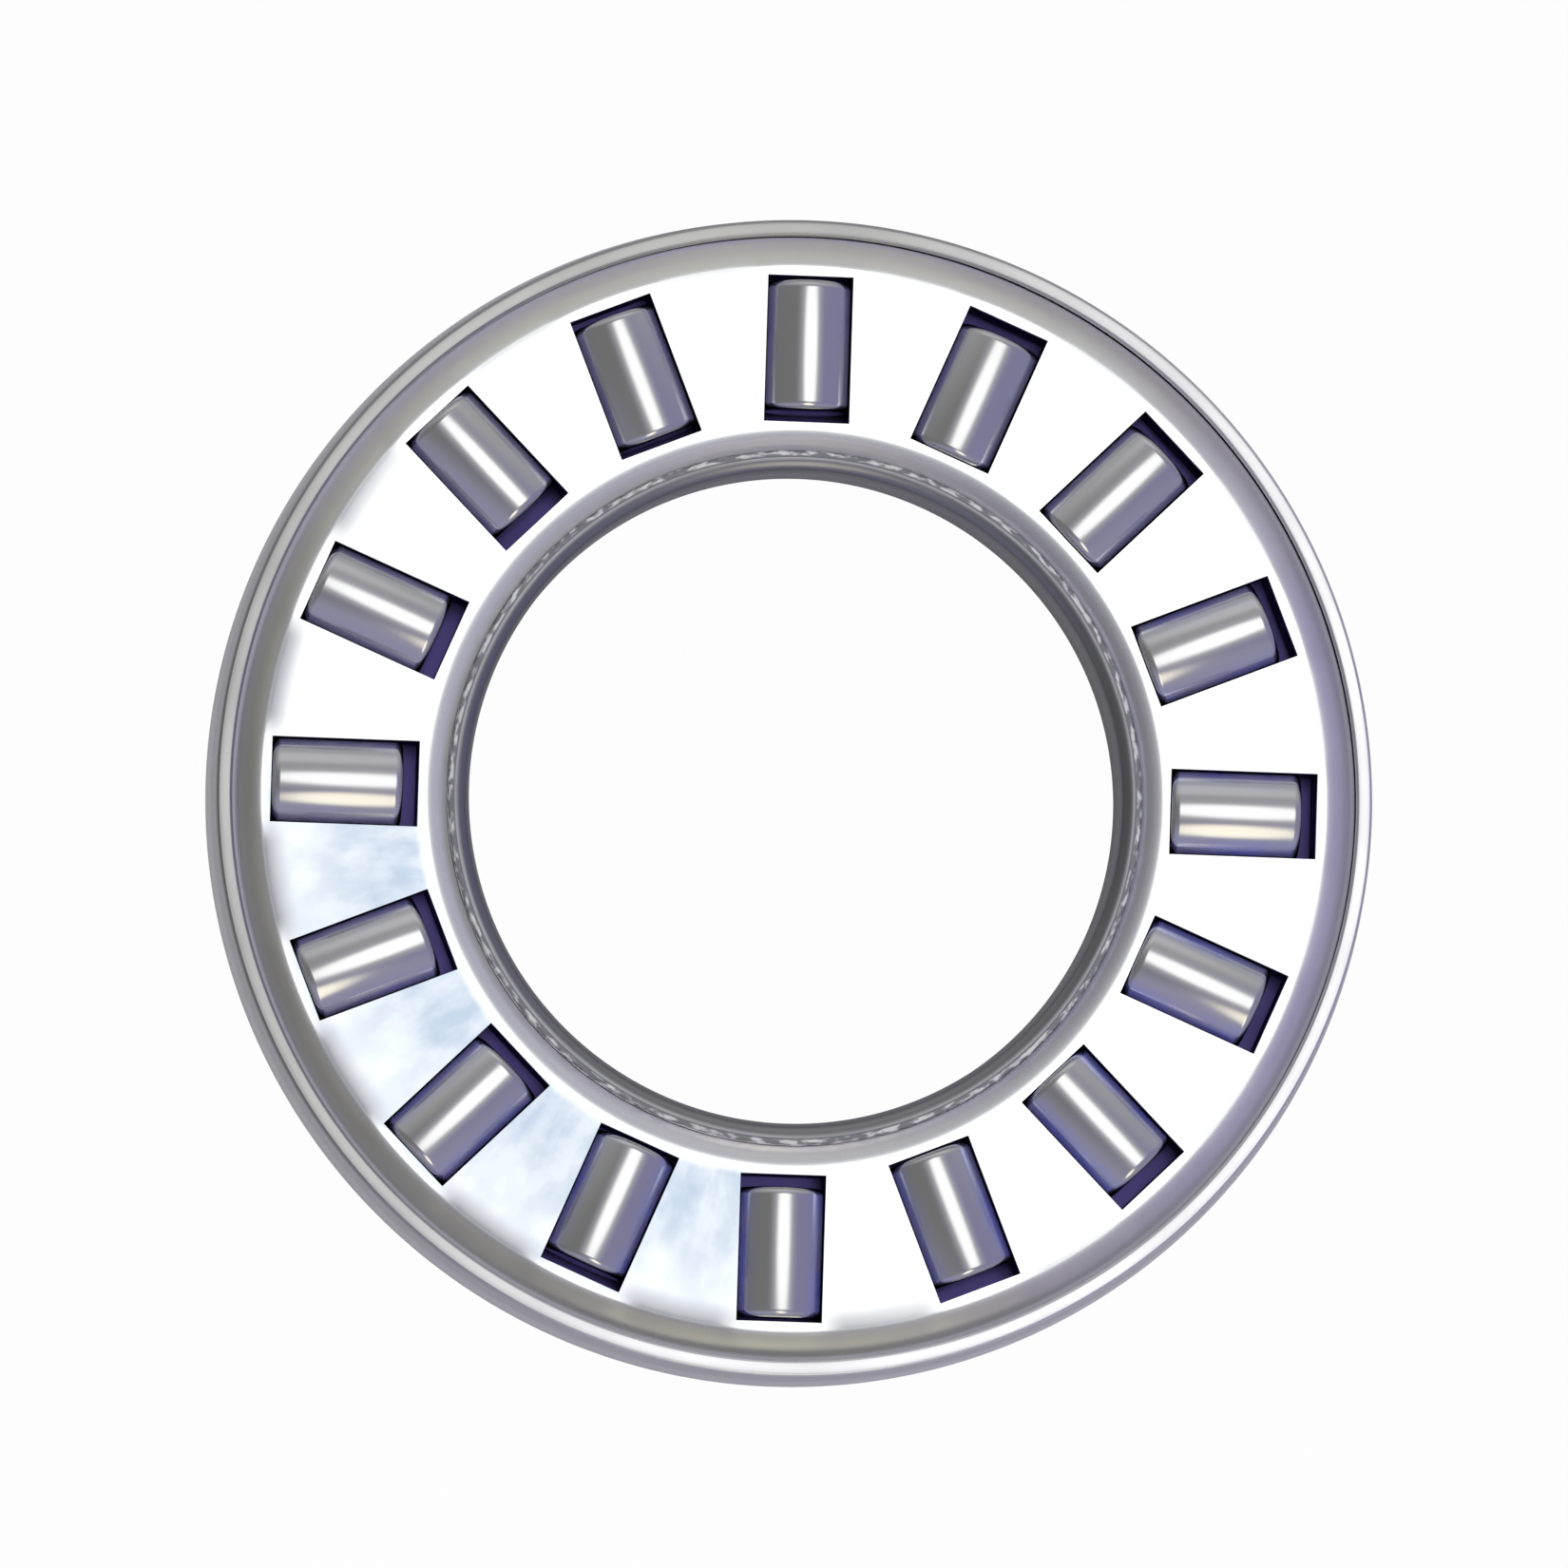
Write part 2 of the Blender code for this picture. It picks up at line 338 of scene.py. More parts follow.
# %% Ring grain
ring_grain, given, wanted = new_group(
    "Ring grain",
    [("Place", "Vector", None), ("Lines per metre", "Float", 9000.0), ("Break-up", "Float", 3.0)],
    [("Grain", "Float")],
)
radius, angle, height = round_coordinates(ring_grain, given["Place"])
fast = maths(ring_grain, "MULTIPLY", maths(ring_grain, "ADD", radius, height), given["Lines per metre"])
slow = maths(ring_grain, "MULTIPLY", angle, given["Break-up"])
spot = add(ring_grain, "CombineXYZ", {0: fast, 1: slow}).outputs[0]
lines = add(ring_grain, "TexNoise", {"Vector": spot, "Scale": 1.0, "Detail": 3.0, "Roughness": 0.6})
ring_grain.links.new(lines.outputs[0], wanted["Grain"])
print("group:", ring_grain.name)

# %% [markdown]
# *Tumbling* is the faint dappling of a piece that was deburred in a drum: small dents, and wide clouds
# where the shine is a little duller.

# %% Tumbling
CLOUDS_TO_DENTS = 0.12

tumbling, given, wanted = new_group(
    "Tumbling",
    [("Place", "Vector", None), ("Size", "Float", 900.0)],
    [("Dents", "Float"), ("Clouds", "Float")],
)
dents = add(tumbling, "TexNoise", {"Vector": given["Place"], "Scale": given["Size"], "Detail": 4.0})
wide = maths(tumbling, "MULTIPLY", given["Size"], CLOUDS_TO_DENTS)
clouds = add(tumbling, "TexNoise", {"Vector": given["Place"], "Scale": wide, "Detail": 2.0})
tumbling.links.new(dents.outputs[0], wanted["Dents"])
tumbling.links.new(clouds.outputs[0], wanted["Clouds"])
print("group:", tumbling.name)

# %% [markdown]
# *Blotchy tint* tints the steel in patches. On the race it is a thin violet film. Inside the cage and on
# the rollers' flanks it carries painted shade, and on the punched sides painted light. A thin tint is there
# all over, and patches of noise make it thicker.

# %% Blotchy tint
THIN_FILM = 0.4

blotchy_tint, given, wanted = new_group(
    "Blotchy tint",
    [
        ("Place", "Vector", None),
        ("Steel", "Color", (0.6, 0.6, 0.6, 1)),
        ("Film", "Color", (0.3, 0.3, 0.6, 1)),
        ("Amount", "Float", 0.5),
        ("Size", "Float", 300.0),
    ],
    [("Color", "Color")],
)
patches = add(blotchy_tint, "TexNoise", {"Vector": given["Place"], "Scale": given["Size"], "Detail": 3.0})
thickness = ramp(blotchy_tint, patches.outputs[0], 0.35, 0.65, THIN_FILM, 1.0)
cover = product(blotchy_tint, thickness, given["Amount"])
blotchy_tint.links.new(blend_colours(blotchy_tint, cover, given["Steel"], given["Film"]), wanted["Color"])
print("group:", blotchy_tint.name)

# %% [markdown]
# *Sheared edge* is the torn, sparkling face that a die leaves where it cuts the sheet. The noise gives
# the tears, and its highest parts give the mask where bright facets are painted in, as painted glints.

# %% Sheared edge
sheared_edge, given, wanted = new_group(
    "Sheared edge",
    [("Place", "Vector", None), ("Size", "Float", 5000.0)],
    [("Tears", "Float"), ("Painted glints", "Float")],
)
tears = add(sheared_edge, "TexNoise", {"Vector": given["Place"], "Scale": given["Size"], "Detail": 2.0})
glint_mask = ramp(sheared_edge, tears.outputs[0], 0.45, 0.62)
sheared_edge.links.new(tears.outputs[0], wanted["Tears"])
sheared_edge.links.new(glint_mask, wanted["Painted glints"])
print("node groups:", [group.name for group in bpy.data.node_groups])

# %% [markdown]
# ## Steels
# All the pieces are bright steel, so they share a Principled shader that is fully metallic. What tells
# them apart is how sharp their reflection is: ground rollers are nearly a mirror, the rolled sheet of the
# cage is smooth, and the drawn race is satin.

# %% Material helpers


def new_steel(name, colour, roughness):
    """A metallic material, with its tree, its shader and a point's place on the piece."""
    steel = bpy.data.materials.new(name)
    steel.use_nodes = True
    tree = steel.node_tree
    shader = tree.nodes["Principled BSDF"]
    shader.inputs["Metallic"].default_value = 1
    shader.inputs["Base Color"].default_value = (*colour, 1)
    shader.inputs["Roughness"].default_value = roughness
    steel.diffuse_color = (*colour, 1)
    place = add(tree, "TexCoord", {}).outputs["Object"]
    return steel, tree, shader, place


def use(tree, group, **values):
    """Places a group in a material. An underscore in a value's name stands for a space."""
    made = tree.nodes.new("ShaderNodeGroup")
    made.node_tree = group
    for key, value in values.items():
        fill(tree, made.inputs[key.replace("_", " ")], value)
    return made.outputs


def cloudy_roughness(tree, shader, clouds, share, least):
    """Makes the shine a little duller in the clouds of the tumbling."""
    rough = maths(tree, "ADD", maths(tree, "MULTIPLY", clouds, share), least)
    tree.links.new(rough, shader.inputs["Roughness"])


def bump(tree, shader, height, depth):
    """Makes a pattern stand up from the surface by this depth, in metres."""
    made = add(tree, "Bump", {"Height": height, "Distance": depth, "Strength": 1.0})
    tree.links.new(made.outputs[0], shader.inputs["Normal"])


print("material helpers: new_steel, use, cloudy_roughness, bump")

# %% [markdown]
# ## Race steel
# The race is one stamping, but its faces don't look alike. The rim's crest was trimmed, so it is bright,
# and it is painted darker on one side, as painted shade. The rim's outer wall is painted darker at the top
# and lighter at the foot, and its inner wall pale, both as painted light. The collar round the bore is
# painted dark, as painted shade, and the end of its flare pale, as painted light. The track under the
# rollers is painted nearly black, as painted shade.
#
# One material with zones by radius and height gives all this on one closed piece. Separate materials
# would need a cut in the mesh at each border, and the borders would be hard.

# %% Race steel zones
race_colour = (0.62, 0.62, 0.625)
race_steel, tree, shader, place = new_steel("race_steel", race_colour, 0.3)
radius, angle, height = round_coordinates(tree, place)
crest = product(tree, zone(tree, height, 4.7, 4.9), zone(tree, radius, 27.0, 27.3))
outer_wall = product(tree, zone(tree, radius, 28.0, 28.1), zone(tree, height, 4.8, 4.6))
collar = zone(tree, radius, 17.0, 16.8)
collar_end = zone(tree, radius, 16.86, 16.9, 17.05, 17.1)
track = product(tree, zone(tree, radius, 17.2, 17.5, 26.6, 26.9), zone(tree, height, 0.3, 0.6, 1.0, 1.3))
inner_wall = product(tree, zone(tree, radius, 27.2, 27.3, 27.85, 27.95), zone(tree, height, 4.95, 4.85))
crest_shaded_side = zone(tree, along(tree, place, (-0.86, 0.5, 0)), -14, 13)
print("zones of the race: crest, outer wall, collar, collar end, track, inner wall")

# %% [markdown]
# The zones are then painted one over the other, from the widest to the narrowest, on steel with a thin
# violet film. The rim's walls are also made less metallic, so that their painted light scatters.

# %% Race steel colour
# Painted light and shade: the crest's darker side, the outer wall's darker top and lighter foot, the dark
# collar, the pale end of the flare, the nearly black track and the pale inner wall of the rim.
BRIGHT_CREST = (0.86, 0.86, 0.87, 1)
SHADED_CREST = (0.45, 0.45, 0.44, 1)
WALL_TOP_SHADE = (0.70, 0.70, 0.70, 1)
WALL_FOOT_LIGHT = (0.98, 0.98, 0.98, 1)
COLLAR_SHADE = (0.31, 0.31, 0.325, 1)
COLLAR_END_LIGHT = (0.95, 0.95, 0.97, 1)
TRACK_SHADE = (0.065, 0.052, 0.165, 1)
INNER_WALL_LIGHT = (0.85, 0.84, 0.92, 1)

tint_inputs = {"Steel": (*race_colour, 1), "Film": (0.40, 0.38, 0.60, 1), "Amount": 0.25, "Size": 260.0}
tinted = use(tree, blotchy_tint, Place=place, **tint_inputs)
# Painted shade: the crest is darker on one side.
crest_colour = blend_colours(tree, crest_shaded_side, BRIGHT_CREST, SHADED_CREST)
# Painted light: the outer wall is darker at the top and lighter towards its foot.
outer_wall_light = blend_colours(tree, zone(tree, height, 3.8, 2.2), WALL_TOP_SHADE, WALL_FOOT_LIGHT)
colour = blend_colours(tree, crest, tinted["Color"], crest_colour)
colour = blend_colours(tree, outer_wall, colour, outer_wall_light)
# Painted shade on the collar round the bore.
colour = blend_colours(tree, collar, colour, COLLAR_SHADE)
# Painted light on the end of the flare, which the shoulder under it reflects.
colour = blend_colours(tree, collar_end, colour, COLLAR_END_LIGHT)
# Painted shade: the track under the rollers is nearly black.
colour = blend_colours(tree, track, colour, TRACK_SHADE)
# Painted light: the rim's inner wall is pale.
colour = blend_colours(tree, inner_wall, colour, INNER_WALL_LIGHT)
tree.links.new(colour, shader.inputs["Base Color"])

# The walls are made less metallic, so that their painted light scatters.
diffuse_walls = maths(tree, "MAXIMUM", product(tree, inner_wall, 0.85), product(tree, outer_wall, 0.35))
tree.links.new(maths(tree, "SUBTRACT", 1.0, diffuse_walls), shader.inputs["Metallic"])
grain = use(tree, ring_grain, Place=place)["Grain"]
dapple = use(tree, tumbling, Place=place, Size=1400.0)
cloudy_roughness(tree, shader, dapple["Clouds"], 0.2, 0.2)
bump(tree, shader, maths(tree, "ADD", grain, dapple["Dents"]), 0.004 * MM)
print("nodes in", race_steel.name, len(tree.nodes))

# %% [markdown]
# The very edge of the flared lip was torn by the die. Its glints are painted into its colour as bright
# dashes, and the root of the edge is painted dark, as painted shade. The noise is stretched round the ring,
# by giving it the angle as a length at a radius smaller than the real one.

# %% Torn edge of the lip
DASH_RADIUS = 5 * MM
TORN_DARK = (0.26, 0.26, 0.28, 1)
TORN_PAINTED_GLINT = (0.80, 0.80, 0.80, 1)
TORN_ROOT_SHADE = (0.22, 0.22, 0.25, 1)

torn_steel, tree, shader, place = new_steel("torn_edge_steel", (0.7, 0.7, 0.7), 0.45)
radius, angle, height = round_coordinates(tree, place)
dash = add(tree, "CombineXYZ", {0: radius, 1: maths(tree, "MULTIPLY", angle, DASH_RADIUS)}).outputs[0]
torn = use(tree, sheared_edge, Place=dash, Size=4200.0)
# Painted glints in dashes, then painted shade at the root of the edge.
colour = blend_colours(tree, torn["Painted glints"], TORN_DARK, TORN_PAINTED_GLINT)
colour = blend_colours(tree, zone(tree, radius, 16.66, 16.76), TORN_ROOT_SHADE, colour)
tree.links.new(colour, shader.inputs["Base Color"])
bump(tree, shader, torn["Tears"], 0.012 * MM)
print("nodes in", torn_steel.name, len(tree.nodes))

# %% [markdown]
# ## Cage steel
# The cage is the brightest piece. Its flat web is clean rolled sheet, with a pale blue painted reflection
# in blotches on one side, which stops short of both shoulders. The two shoulders were drawn round, which
# roughened them to satin, and each is painted lighter on one side and darker on the other, as painted light
# and shade.
# Between the pockets, the outer shoulder is painted darker on one side, as painted shade. The cage's outer
# wall is painted pale, as painted light in the gap beside the rim.
#
# First come the masks. The painted reflection is blotchy noise, by radius and angle so that it follows the
# ring.

# %% Cage steel zones
# The sides where the painted reflection, the painted shade and the painted light fall.
REFLECTION_SIDE = towards(90, 222)
SHADED_SIDE = towards(90, 215)
BRIGHT_SIDE = towards(90, 95)
BLOTCHES_OUTWARDS = 420.0
BLOTCHES_ROUND = 14.0

cage_colour = (0.86, 0.87, 0.88)
cage_steel, tree, shader, place = new_steel("cage_steel", cage_colour, 0.2)
radius, angle, height = round_coordinates(tree, place)
blotch_out = maths(tree, "MULTIPLY", radius, BLOTCHES_OUTWARDS)
blotch_round = maths(tree, "MULTIPLY", angle, BLOTCHES_ROUND)
blotch = add(tree, "CombineXYZ", {0: blotch_out, 1: blotch_round}).outputs[0]
blotches = add(tree, "TexNoise", {"Vector": blotch, "Scale": 1.0, "Detail": 3.0, "Roughness": 0.5})
facing = maths(tree, "DIVIDE", along(tree, place, REFLECTION_SIDE), radius)
# Painted reflection: a pale blue, blotchy patch on one side of the web.
blue_reflection = product(
    tree,
    ramp(tree, facing, 0.66, 0.76),
    ramp(tree, blotches.outputs[0], 0.3, 0.7, 0.55, 1),
    zone(tree, radius, 18.1, 18.7, 25.6, 26.1),
    ramp(tree, radius, 20.5 * MM, 25.0 * MM, 1, 0.55),
)
pocket_wave = maths(tree, "COSINE", maths(tree, "MULTIPLY", angle, float(pockets)))
shaded = along(tree, place, SHADED_SIDE)
# Painted shade: darker between the pockets on the outer shoulder, on the shaded side.
scallop_shade = product(
    tree,
    ramp(tree, pocket_wave, 0.6, -0.5),
    zone(tree, radius, 24.7, 25.7, 26.1, 26.6),
    zone(tree, shaded, -2, 16),
)
satin = maths(tree, "MAXIMUM", zone(tree, radius, 25.9, 26.4), zone(tree, radius, 17.9, 17.4))
# Painted light: the cage's outer wall is pale, in the gap beside the rim.
lit_gap_wall = zone(tree, radius, 27.15, 27.35)
print("zones of the cage: smear, worn, satin shoulders, lit gap wall")

# %% [markdown]
# Then the zones are painted over the clean sheet. A soft step from one side to the other gives each
# shoulder its painted light and painted shade, and the painted light of the top is laid over them.

# %% Cage steel colour
# Painted light and shade: the pale blue reflection, the shade between the pockets, the light and shade of
# the shoulders and the light on the outer wall.
PALE_BLUE_REFLECTION = (0.42, 0.50, 0.60, 1)
SCALLOP_SHADE_COLOUR = (0.46, 0.47, 0.50, 1)
OUTER_LIGHT_AND_SHADE = ((0.76, 0.73, 0.86, 1), (0.56, 0.56, 0.50, 1))
OUTER_TOP_LIGHT = (0.93, 0.93, 0.83, 1)
INNER_SHADE_AND_LIGHT = ((0.60, 0.59, 0.62, 1), (0.95, 0.95, 0.95, 1))
GAP_WALL_LIGHT = (0.90, 0.90, 0.91, 1)

shaded_side = zone(tree, shaded, -14, 14)
outer_shade = blend_colours(tree, shaded_side, *OUTER_LIGHT_AND_SHADE)
bright_side = zone(tree, along(tree, place, BRIGHT_SIDE), 4, 24)
outer_shade = blend_colours(tree, bright_side, outer_shade, OUTER_TOP_LIGHT)
inner_shade = blend_colours(tree, shaded_side, *INNER_SHADE_AND_LIGHT)
shade = blend_colours(tree, zone(tree, radius, 20.0, 21.0), inner_shade, outer_shade)

colour = blend_colours(tree, blue_reflection, (*cage_colour, 1), PALE_BLUE_REFLECTION)
colour = blend_colours(tree, scallop_shade, colour, SCALLOP_SHADE_COLOUR)
colour = blend_colours(tree, satin, colour, shade)
colour = blend_colours(tree, lit_gap_wall, colour, GAP_WALL_LIGHT)
tree.links.new(colour, shader.inputs["Base Color"])

scattering = maths(tree, "ADD", product(tree, satin, 0.15), product(tree, lit_gap_wall, 0.55))
tree.links.new(maths(tree, "SUBTRACT", 1.0, scattering), shader.inputs["Metallic"])
dapple = use(tree, tumbling, Place=place, Size=700.0)
least_rough = maths(tree, "ADD", product(tree, satin, 0.15), 0.12)
cloudy_roughness(tree, shader, dapple["Clouds"], 0.14, least_rough)
bump(tree, shader, dapple["Dents"], 0.003 * MM)
print("nodes in", cage_steel.name, len(tree.nodes))

# %% [markdown]
# The cage is painted dark violet inside, as painted shade, and the punched sides of its pockets are painted
# paler and bluish, as painted light for the rollers' flanks to reflect. Both use the blotchy tint, in
# different colours.

# %% Steel inside the cage
# Painted shade: the inside of the cage is dark violet.
inside_shade_steel, tree, shader, place = new_steel("cage_inside_steel", (0.05, 0.035, 0.14), 0.5)
tint_inputs = {"Steel": (0.035, 0.025, 0.10, 1), "Film": (0.012, 0.008, 0.05, 1), "Amount": 0.9, "Size": 500.0}
tinted = use(tree, blotchy_tint, Place=place, **tint_inputs)
tree.links.new(tinted["Color"], shader.inputs["Base Color"])
dapple = use(tree, tumbling, Place=place, Size=1500.0)
bump(tree, shader, dapple["Dents"], 0.004 * MM)

# Painted light: the punched sides are pale and bluish, for the rollers' flanks to reflect.
punched_light_steel, tree, shader, place = new_steel("punched_light_steel", (0.5, 0.48, 0.72), 0.4)
tint_inputs = {"Steel": (0.76, 0.74, 0.88, 1), "Film": (0.54, 0.52, 0.80, 1), "Amount": 0.7, "Size": 500.0}
tinted = use(tree, blotchy_tint, Place=place, **tint_inputs)
tree.links.new(tinted["Color"], shader.inputs["Base Color"])
print("steels of the cage:", cage_steel.name, inside_shade_steel.name, punched_light_steel.name)

# %% [markdown]
# ## Roller steel
# The rollers are ground, so they are the nearest to a mirror. Grinding leaves rings round each roller, and
# a roller lies along a radius, so the bearing's own radius counts those rings. Their steep flanks are
# painted violet in patches, as a painted tint of their shade, more on one side of the ring, and their tops
# are left plain.

# %% Roller steel
SHADE_TINT_SIDE = (0.45, -0.89, 0)
GRINDING_RINGS = 9000.0

roller_colour = (0.72, 0.72, 0.72)
roller_steel, tree, shader, place = new_steel("roller_steel", roller_colour, 0.12)
radius, angle, height = round_coordinates(tree, place)
tint_inputs = {"Steel": (*roller_colour, 1), "Film": (0.62, 0.64, 0.92, 1), "Amount": 0.9, "Size": 380.0}
tinted = use(tree, blotchy_tint, Place=place, **tint_inputs)
# Painted shade tint: violet on the steep flanks, more on one side of the ring.
side_of_flank_tint = ramp(tree, along(tree, place, SHADE_TINT_SIDE), -10 * MM, 16 * MM, 0.25, 1)
painted_flank_tint = product(tree, side_of_flank_tint, zone(tree, height, 5.1, 4.7))
colour = blend_colours(tree, painted_flank_tint, (*roller_colour, 1), tinted["Color"])
tree.links.new(colour, shader.inputs["Base Color"])
dapple = use(tree, tumbling, Place=place, Size=1100.0)
cloudy_roughness(tree, shader, dapple["Clouds"], 0.12, 0.1)
rings = add(tree, "TexNoise", {"Scale": 1.0, "Detail": 3.0, "Roughness": 0.7}, noise_dimensions="1D")
fill(tree, rings.inputs["W"], maths(tree, "MULTIPLY", radius, GRINDING_RINGS))
bump(tree, shader, rings.outputs[0], 0.001 * MM)
print("nodes in", roller_steel.name, len(tree.nodes))

# %% [markdown]
# ## Making turned pieces
# The race and both halves of the cage are round, so each starts as an outline that is spun about the
# axis. The outline is drawn with arcs where the sheet bends, and its straight runs need no points between.
# A finished piece is smooth except at its sharp edges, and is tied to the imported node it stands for.

# %% Outline helpers
FULL_STEPS = 384
BEND_STEPS = 8
SHARP_ANGLE = math.radians(35)
WELD = 0.0001 * MM


def arc(centre_r, centre_z, radius, start, end, steps=BEND_STEPS):
    """Points (r, z) on an arc from one angle to another, in degrees."""
    angles = [math.radians(start + (end - start) * i / steps) for i in range(steps + 1)]
    return [(centre_r + radius * math.cos(a), centre_z + radius * math.sin(a)) for a in angles]


def draw_outline(bm, points, closed, turn=0.0):
    """Draws an outline in the upright plane at this angle round the axis, and returns its geometry."""
    verts = [bm.verts.new((r * math.cos(turn), r * math.sin(turn), z)) for r, z in points]
    edges = [bm.edges.new(pair) for pair in zip(verts, verts[1:])]
    if closed:
        edges.append(bm.edges.new((verts[-1], verts[0])))
    return verts + edges


def finish_piece(name, bm, body, replaced, slot, *steels):
    """Makes the piece's object, smooth but for its sharp edges, and ties it to the frame."""
    mesh = bpy.data.meshes.new(name)
    bm.to_mesh(mesh)
    bm.free()
    mesh.shade_smooth()
    mesh.set_sharp_from_angle(angle=SHARP_ANGLE)
    for steel in steels:
        mesh.materials.append(steel)
    piece = bpy.data.objects.new(name, mesh)
    bpy.context.scene.collection.objects.link(piece)
    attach(piece, body)
    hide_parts(replaced)
    return piece


print("a full turn has", FULL_STEPS, "steps, and a bend", BEND_STEPS)

# %% [markdown]
# ## The race
# The real race is one stamping. A disc is drawn into a shallow dish, whose wall becomes the rim, and the
# middle is pushed out into a collar, whose end is flared over the cage's inner edge. The rim's crest is
# trimmed flat. One closed outline runs up the rim, over its crest, under the floor, up the bore, round
# the flare and back along the top of the floor.

# %% Race outline
FLOOR = 0.8 * MM
RIM_WALL = 0.65 * MM
RIM_LEAN = 0.35 * MM
RIM_ROUND = 0.16 * MM
RIM_TURN_IN = 0.14 * MM
RACE_BEND = 1.3 * MM
RACE_FILLET = 0.4 * MM
LIP_WALL = 0.5 * MM
LIP_MOUTH = 0.75 * MM
LIP_RISE = 0.25 * MM
LIP_OVERHANG = 0.18 * MM
EDGE_ROUND = 0.06 * MM

lip_top = cage_top + LIP_RISE
lip_edge = cage_inner + LIP_OVERHANG
lip_outer = bore_radius + LIP_WALL
crest_outer = outer_radius - RIM_LEAN
crest_inner = crest_outer - RIM_WALL - RIM_TURN_IN
rim_foot = outer_radius - RIM_WALL - RACE_FILLET
mouth_r = bore_radius + LIP_MOUTH
mouth_z = lip_top - LIP_MOUTH
round_z = race_top - RIM_ROUND

outline = arc(crest_inner + RIM_ROUND, round_z, RIM_ROUND, 180, 90, 4)
outline += arc(crest_outer - RIM_ROUND, round_z, RIM_ROUND, 90, 0, 4)
outline += arc(outer_radius - RACE_BEND, RACE_BEND, RACE_BEND, 0, -90)
outline += arc(bore_radius + RACE_BEND, RACE_BEND, RACE_BEND, -90, -180)
outline += arc(mouth_r, mouth_z, LIP_MOUTH, 180, 90, 12)
outline += arc(lip_edge - EDGE_ROUND, lip_top - EDGE_ROUND, EDGE_ROUND, 90, 0, 3)
outline += arc(lip_edge - EDGE_ROUND, lip_top - LIP_WALL + EDGE_ROUND, EDGE_ROUND, 0, -90, 3)
outline += arc(mouth_r, mouth_z, LIP_MOUTH - LIP_WALL, 90, 180, 5)
outline += arc(lip_outer + RACE_FILLET, FLOOR + RACE_FILLET, RACE_FILLET, 180, 270, 5)
outline += arc(rim_foot, FLOOR + RACE_FILLET, RACE_FILLET, 270, 360, 5)
print("points in the race's outline:", len(outline))

# %% [markdown]
# The outline is spun all the way round, and its ends are merged. The collar's end is left as the die tore
# it, so its edge is moved about a little with smooth noise, most at the very edge and not at all at the
# mouth. The faces on top of it get the torn steel.

# %% Race
LIP_BURR = 0.04 * MM
BURR_OUT = 2500
BURR_UP = 3100
BURR_HEIGHT = 0.6 * LIP_BURR

bm = bmesh.new()
geometry = draw_outline(bm, outline, True)
about = {"cent": (0, 0, 0), "axis": (0, 0, 1)}
bmesh.ops.spin(bm, geom=geometry, angle=math.tau, steps=FULL_STEPS, use_merge=True, **about)
bmesh.ops.remove_doubles(bm, verts=bm.verts, dist=WELD)
bmesh.ops.recalc_face_normals(bm, faces=bm.faces)
for vert in bm.verts:
    in_lip = mouth_r < vert.co.xy.length < lip_edge + EDGE_ROUND
    if in_lip and vert.co.z > lip_top - LIP_WALL - EDGE_ROUND:
        share = (vert.co.xy.length - mouth_r) / (lip_edge - mouth_r)
        outwards = Vector((vert.co.x, vert.co.y, 0)).normalized()
        vert.co += outwards * LIP_BURR * share * noise.noise(vert.co * BURR_OUT)
        vert.co.z += BURR_HEIGHT * share * noise.noise(vert.co * BURR_UP)
for face in bm.faces:
    middle = face.calc_center_median()
    if middle.z > lip_top - 2 * EDGE_ROUND and mouth_r < middle.xy.length < lip_edge + LIP_BURR:
        face.material_index = 1
print("race faces:", len(bm.faces))
finish_piece("race_shell", bm, "race", "flanged_race", "race_steel", race_steel, torn_steel)

# %% [markdown]
# ## The cage
# The cage is two rings of thin sheet. The upper one is drawn into a cup with round shoulders, its pockets
# are punched, and its walls are hemmed under the lower one. Each half is sixteen copies of one slice with
# one pocket.
#
# A Boolean could punch the pockets, but it would leave long thin triangles. Instead, one slice is cut along
# the pocket's four sides with planes, and the faces between them are taken out.

# %% Punching a pocket
POCKET_GRIP = 0.16 * MM
POCKET_WIDTH = 2 * (roller_radius - POCKET_GRIP)
POCKET_LENGTH = 7.18 * MM
POCKET_CENTRE = 21.955 * MM
FLAT_NORMAL = 0.99

pocket_start = POCKET_CENTRE - POCKET_LENGTH / 2
pocket_end = POCKET_CENTRE + POCKET_LENGTH / 2
pocket_half = POCKET_WIDTH / 2


def cut_along(bm, faces, point, normal):
    """Cuts these faces along a plane, and returns all the faces that they have become."""
    edges = dict.fromkeys(edge for face in faces for edge in face.edges)
    verts = dict.fromkeys(vert for face in faces for vert in face.verts)
    parts = [*edges, *verts, *faces]
    cut = bmesh.ops.bisect_plane(bm, geom=parts, dist=WELD, plane_co=point, plane_no=normal)
    return [part for part in cut["geom"] if isinstance(part, bmesh.types.BMFace)]


def in_pocket(face):
    middle = face.calc_center_median()
    return pocket_start < middle.x < pocket_end and abs(middle.y) < pocket_half


def punch_pocket(bm, flat_low, flat_high):
    """Opens the pocket in the flat sheet of a slice whose pocket lies along +X."""
    flat = [f for f in bm.faces if abs(f.normal.z) > FLAT_NORMAL]
    web = [f for f in flat if flat_low < f.calc_center_median().xy.length < flat_high]
    for x in (pocket_start, pocket_end):
        web = cut_along(bm, web, (x, 0, 0), (1, 0, 0))
    for y in (-pocket_half, pocket_half):
        web = cut_along(bm, web, (0, y, 0), (0, 1, 0))
    bmesh.ops.delete(bm, geom=[f for f in web if in_pocket(f)], context="FACES")


print(f"pocket {POCKET_LENGTH / MM:.2f} by {POCKET_WIDTH / MM:.2f} mm")

# %% [markdown]
# Spin can also copy finished geometry round the axis, with use_duplicate. So the slice with its pocket
# is copied fifteen times, and the borders of the slices are merged. Solidify then gives the sheet its
# thickness, on its inner side, and puts its own steel on the inside and on the punched sides. A small
# Bevel breaks the punched edges, so that they catch a thin line of light.

